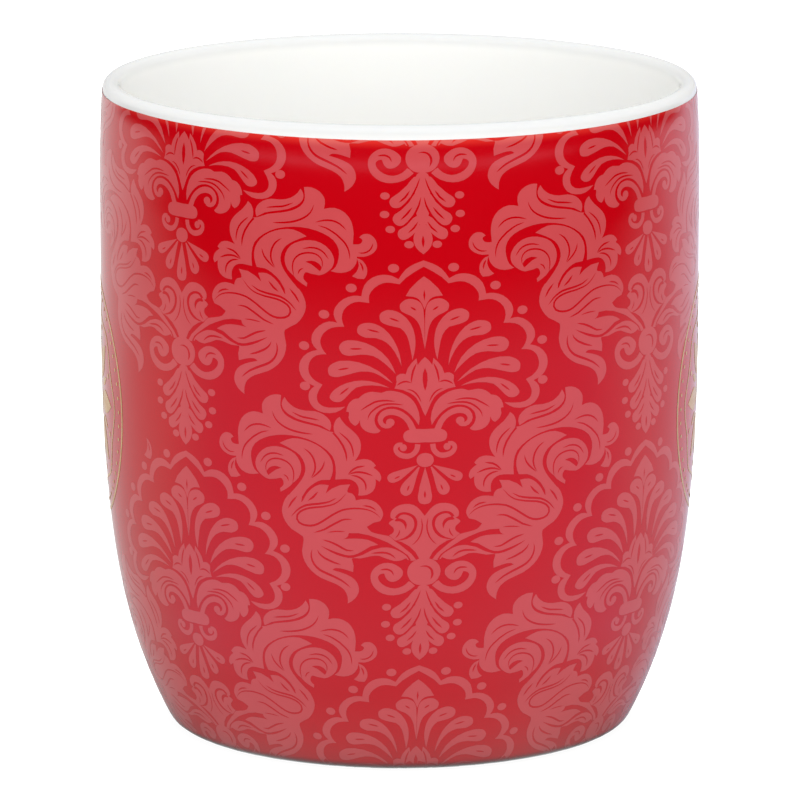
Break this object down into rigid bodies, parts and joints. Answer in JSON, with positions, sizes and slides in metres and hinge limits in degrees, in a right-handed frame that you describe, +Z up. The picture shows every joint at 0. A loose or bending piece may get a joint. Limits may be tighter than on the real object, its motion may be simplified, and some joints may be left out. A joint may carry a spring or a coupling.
{
  "type": "mug",
  "caption": "Straight-sided bone china mug with a rounded base, a loop handle, a white lip and inside, and a red wrap printed with a tonal damask.",
  "frame": {"origin": "middle of the whole mug's footprint, at the level of the surface it stands on", "axes": "+Z up, +Y towards the handle, +X to the right seen from the front"},
  "size_m": [0.085, 0.119, 0.0925],
  "materials": {
    "china": "clear glossy glaze over warm white bone china",
    "slip": "clear glossy glaze over fired slip",
    "print": "glossy red on-glaze enamel with a tonal damask",
    "gilt": "burnished gold print",
    "bare_china": "unglazed, ground smooth"
  },
  "bodies": {
    "root": {"cup_body": "china", "handle": "china", "upper_slip_joint": "slip", "lower_slip_joint": "slip", "wrap_transfer": "print"}
  },
  "joints": []
}
